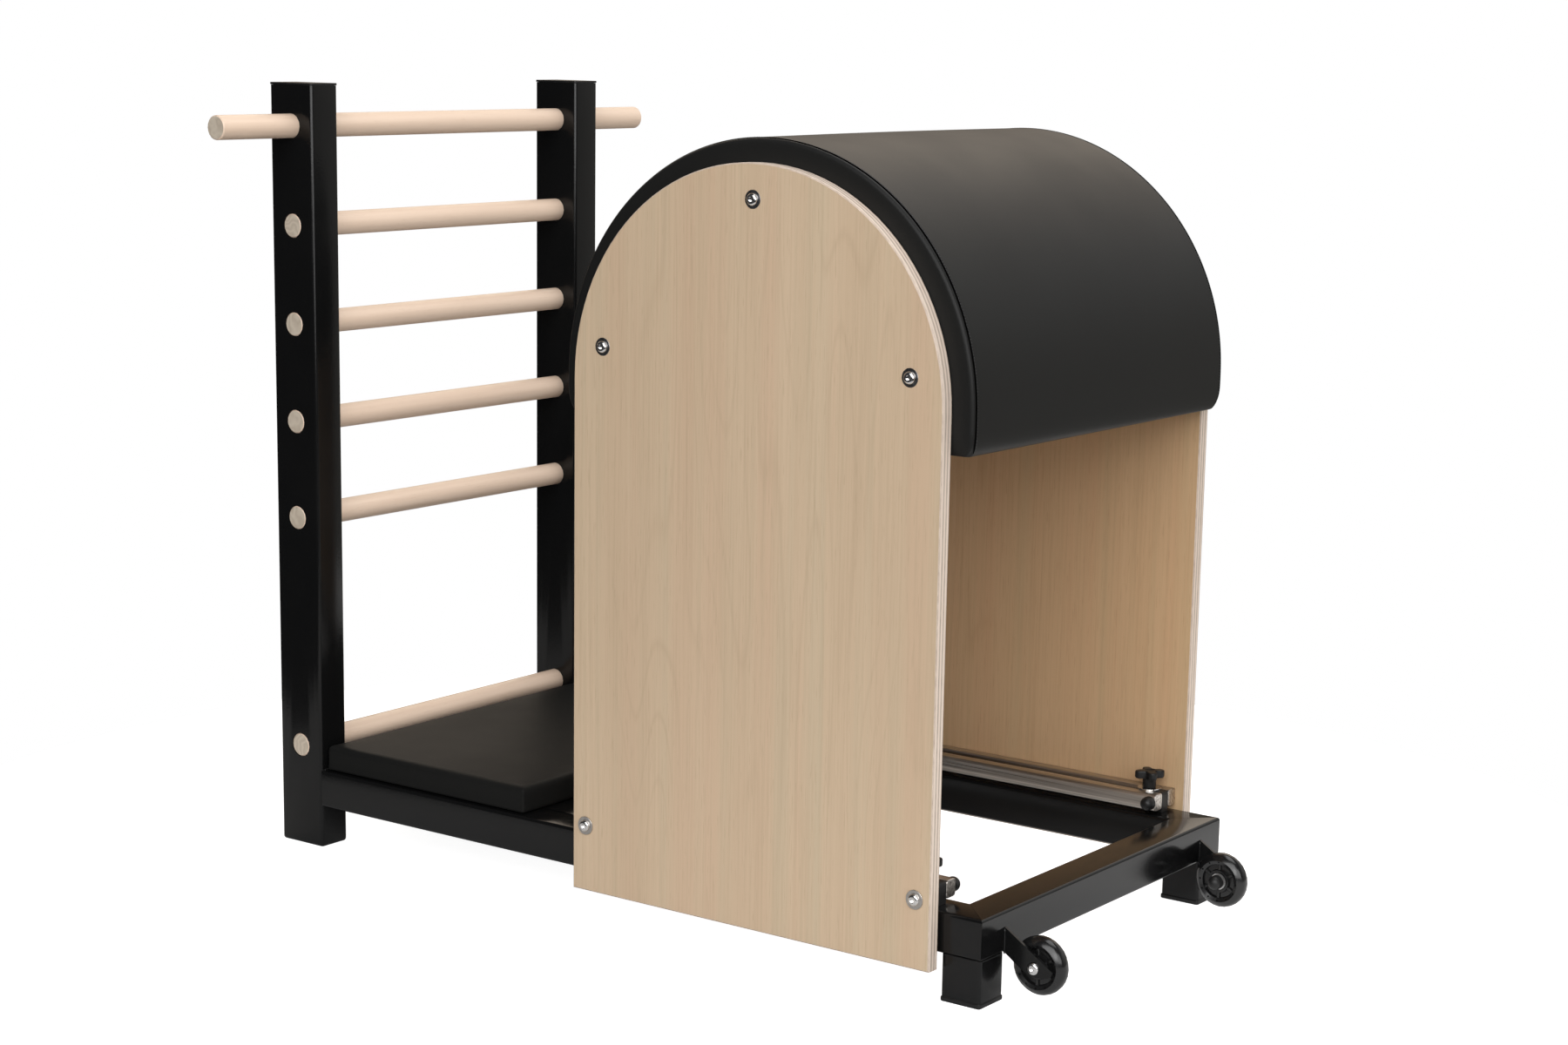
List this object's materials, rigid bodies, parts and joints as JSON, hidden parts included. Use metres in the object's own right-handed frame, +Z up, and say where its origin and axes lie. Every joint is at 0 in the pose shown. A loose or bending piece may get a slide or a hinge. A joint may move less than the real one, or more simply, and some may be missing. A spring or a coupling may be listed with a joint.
{
  "type": "pilates ladder barrel",
  "caption": "Pilates ladder barrel: wooden rung ladder and padded foot platform on a wheeled steel base, with an arched padded barrel between plywood panels that slides and clamps on the rails.",
  "frame": {"origin": "on the floor, under the middle of the object's bounding box", "axes": "+X from the ladder towards the wheels, +Y across the object, +Z up"},
  "size_m": [1.2654, 0.874, 1.07],
  "materials": {
    "black_frame": "glossy black powder coat",
    "black_plastic": "black moulded plastic",
    "black_upholstery": "black synthetic leather, stitched",
    "panel_wood": "light wood grain laminate on plywood",
    "rung_wood": "pale beech, clear lacquer",
    "plain_plywood": "bare birch plywood",
    "bright_steel": "bright plated steel",
    "wheel_rubber": "glossy black cast tyre on a black core"
  },
  "bodies": {
    "base": {"side_rail_right": "black_frame", "side_rail_left": "black_frame", "front_cross_tube": "black_frame", "middle_cross_tube": "black_frame", "rear_cross_tube": "black_frame", "front_leg_right": "black_frame", "front_leg_left": "black_frame", "leg_foot_right": "black_plastic", "leg_foot_left": "black_plastic", "upright_right": "black_frame", "upright_left": "black_frame", "upright_cap_right": "black_plastic", "upright_cap_left": "black_plastic", "top_bar": "rung_wood", "rung_1": "rung_wood", "rung_2": "rung_wood", "rung_3": "rung_wood", "rung_4": "rung_wood", "rung_5": "rung_wood", "platform_board": "black_frame", "platform_cushion": "black_upholstery", "caster_plate_right": "black_frame", "caster_plate_left": "black_frame", "axle_bolt_right": "bright_steel", "axle_bolt_left": "bright_steel"},
    "barrel": {"side_panel_right": "panel_wood", "side_panel_left": "panel_wood", "barrel_pad": "black_upholstery", "barrel_shell": "plain_plywood", "arch_rib_right": "plain_plywood", "arch_rib_left": "plain_plywood", "arch_bolt_1_right": "bright_steel", "arch_bolt_1_left": "bright_steel", "arch_bolt_2_right": "bright_steel", "arch_bolt_2_left": "bright_steel", "arch_bolt_3_right": "bright_steel", "arch_bolt_3_left": "bright_steel", "inner_bar_right": "bright_steel", "inner_bar_left": "bright_steel", "outer_bar_right": "bright_steel", "outer_bar_left": "bright_steel", "front_glide_shoe_right": "black_plastic", "front_glide_shoe_left": "black_plastic", "rear_glide_shoe_right": "black_plastic", "rear_glide_shoe_left": "black_plastic", "front_cross_bolt_right": "bright_steel", "front_cross_bolt_left": "bright_steel", "rear_cross_bolt_right": "bright_steel", "rear_cross_bolt_left": "bright_steel", "clamp_bolt_right": "bright_steel", "clamp_bolt_left": "bright_steel", "clamp_washer_right": "bright_steel", "clamp_washer_left": "bright_steel"},
    "knob_right": {"clamp_knob_right": "black_plastic"},
    "knob_left": {"clamp_knob_left": "black_plastic"},
    "caster_right": {"wheel_right": "wheel_rubber", "bearing_right": "bright_steel"},
    "caster_left": {"wheel_left": "wheel_rubber", "bearing_left": "bright_steel"}
  },
  "joints": [
    {"name": "barrel_slide", "type": "slide", "parent": "base", "child": "barrel", "axis": [1, 0, 0], "range_m": [-0.12, 0]},
    {"name": "knob_right_turn", "type": "hinge", "parent": "barrel", "child": "knob_right", "pos_m": [0.4556, 0.2762, 0.1524], "axis": [0, 0, 1], "range_deg": [0, 360]},
    {"name": "knob_left_turn", "type": "hinge", "parent": "barrel", "child": "knob_left", "pos_m": [0.4556, -0.2762, 0.1524], "axis": [0, 0, 1], "range_deg": [0, 360]},
    {"name": "wheel_right_spin", "type": "hinge", "parent": "base", "child": "caster_right", "pos_m": [0.5957, 0.2309, 0.048], "axis": [0, 1, 0], "continuous": true},
    {"name": "wheel_left_spin", "type": "hinge", "parent": "base", "child": "caster_left", "pos_m": [0.5957, -0.2309, 0.048], "axis": [0, 1, 0], "continuous": true}
  ]
}
